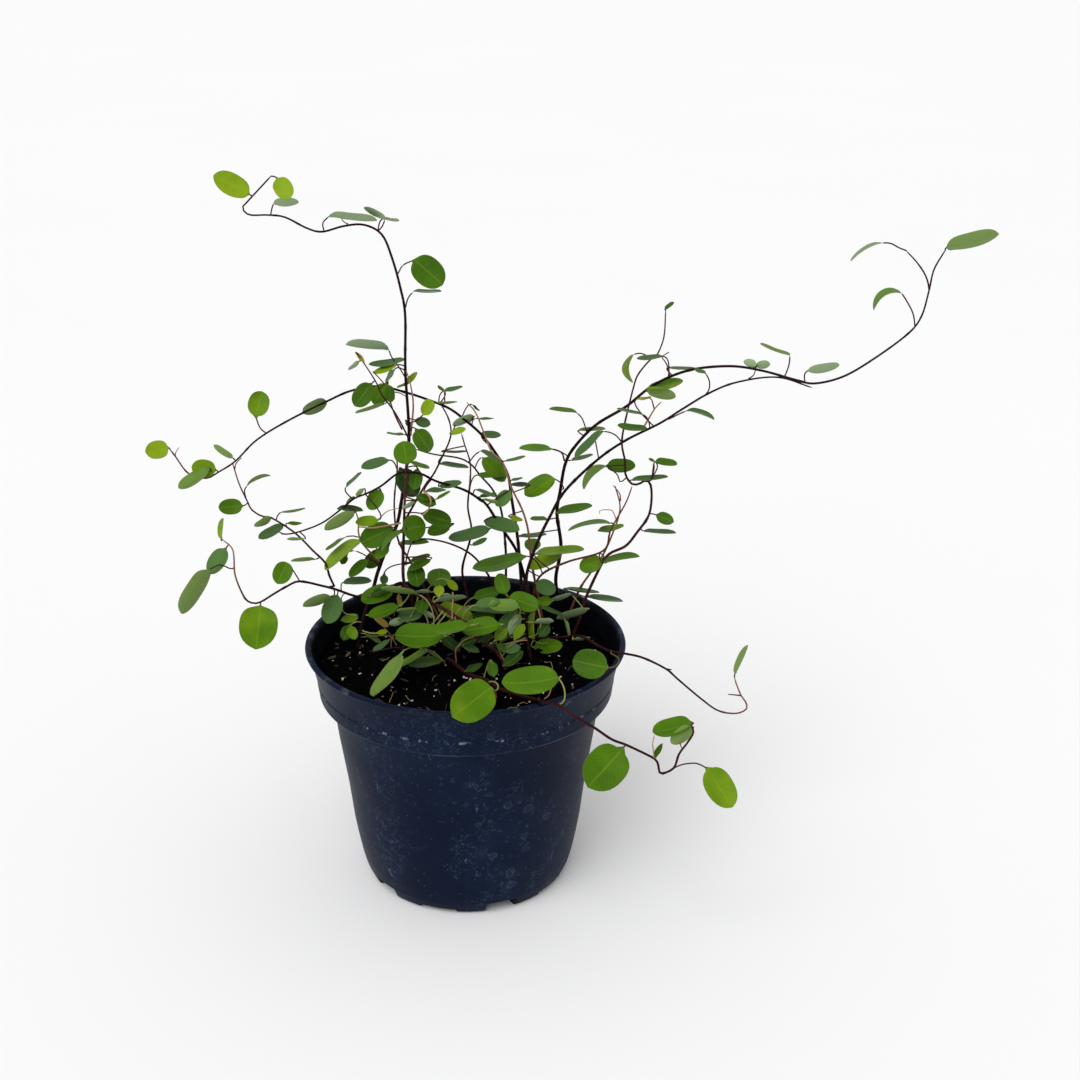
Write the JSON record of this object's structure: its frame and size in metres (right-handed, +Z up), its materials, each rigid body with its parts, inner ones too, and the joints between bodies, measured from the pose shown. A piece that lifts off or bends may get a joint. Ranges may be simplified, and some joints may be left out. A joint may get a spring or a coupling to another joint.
{
  "type": "potted angel vine",
  "caption": "Young angel vine with wiry dark red stems and small rounded leaves, arching and trailing from a round plastic nursery pot.",
  "frame": {"origin": "middle of the pot's underside, on the surface that the pot stands on", "axes": "+Z up; +X to the right across the plant's longest spread; -Y towards the viewer who faces the plant's front"},
  "size_m": [0.2852, 0.1357, 0.2675],
  "materials": {
    "pot_plastic": "satin",
    "potting_mix": "matte",
    "stem_bark": "matte",
    "leaf_skin": "satin"
  },
  "bodies": {
    "root": {"pot": "pot_plastic", "potting_mix": "potting_mix", "stem_tall_left": "stem_bark", "stem_left_arch": "stem_bark", "stem_middle_arch": "stem_bark", "stem_left_low": "stem_bark", "stem_left_middle": "stem_bark", "stem_back_arch": "stem_bark", "stem_tan_riser": "stem_bark", "stem_front_diagonal": "stem_bark", "stem_low_arch": "stem_bark", "stem_back_riser": "stem_bark", "stem_red_shoot": "stem_bark", "stem_inner_left": "stem_bark", "stem_upper_left": "stem_bark", "stem_right_upper": "stem_bark", "stem_right_lower": "stem_bark", "stem_right_tip": "stem_bark", "stem_right_hook": "stem_bark", "stem_right_low": "stem_bark", "stem_right_back": "stem_bark", "stem_right_trailer": "stem_bark", "stem_front_trailer": "stem_bark", "leaf_top_tip": "leaf_skin", "leaf_top_second": "leaf_skin", "leaf_top_third": "leaf_skin", "leaf_top_long": "leaf_skin", "leaf_top_round": "leaf_skin", "leaf_upper_long": "leaf_skin", "leaf_upper_second": "leaf_skin", "leaf_upper_third": "leaf_skin", "leaf_far_left": "leaf_skin", "leaf_arch_upright": "leaf_skin", "leaf_arch_bright": "leaf_skin", "leaf_low_round": "leaf_skin", "leaf_low_side": "leaf_skin", "leaf_low_hanging": "leaf_skin", "leaf_rim_left": "leaf_skin", "leaf_rim_left_second": "leaf_skin", "leaf_left_middle": "leaf_skin", "leaf_middle_dark": "leaf_skin", "leaf_middle_pale": "leaf_skin", "leaf_glossy": "leaf_skin", "leaf_centre_big": "leaf_skin", "leaf_front_big": "leaf_skin", "leaf_front_oval": "leaf_skin", "leaf_front_small": "leaf_skin", "leaf_soil_right": "leaf_skin", "leaf_soil_left": "leaf_skin", "leaf_trailer_oval": "leaf_skin", "leaf_trailer_low": "leaf_skin", "leaf_trailer_end": "leaf_skin", "leaf_trailer_tip": "leaf_skin", "leaf_right_hook": "leaf_skin", "leaf_right_side": "leaf_skin", "leaf_right_pair": "leaf_skin", "leaf_right_cupped": "leaf_skin", "leaf_right_small": "leaf_skin", "leaf_far_right": "leaf_skin"}
  },
  "joints": []
}
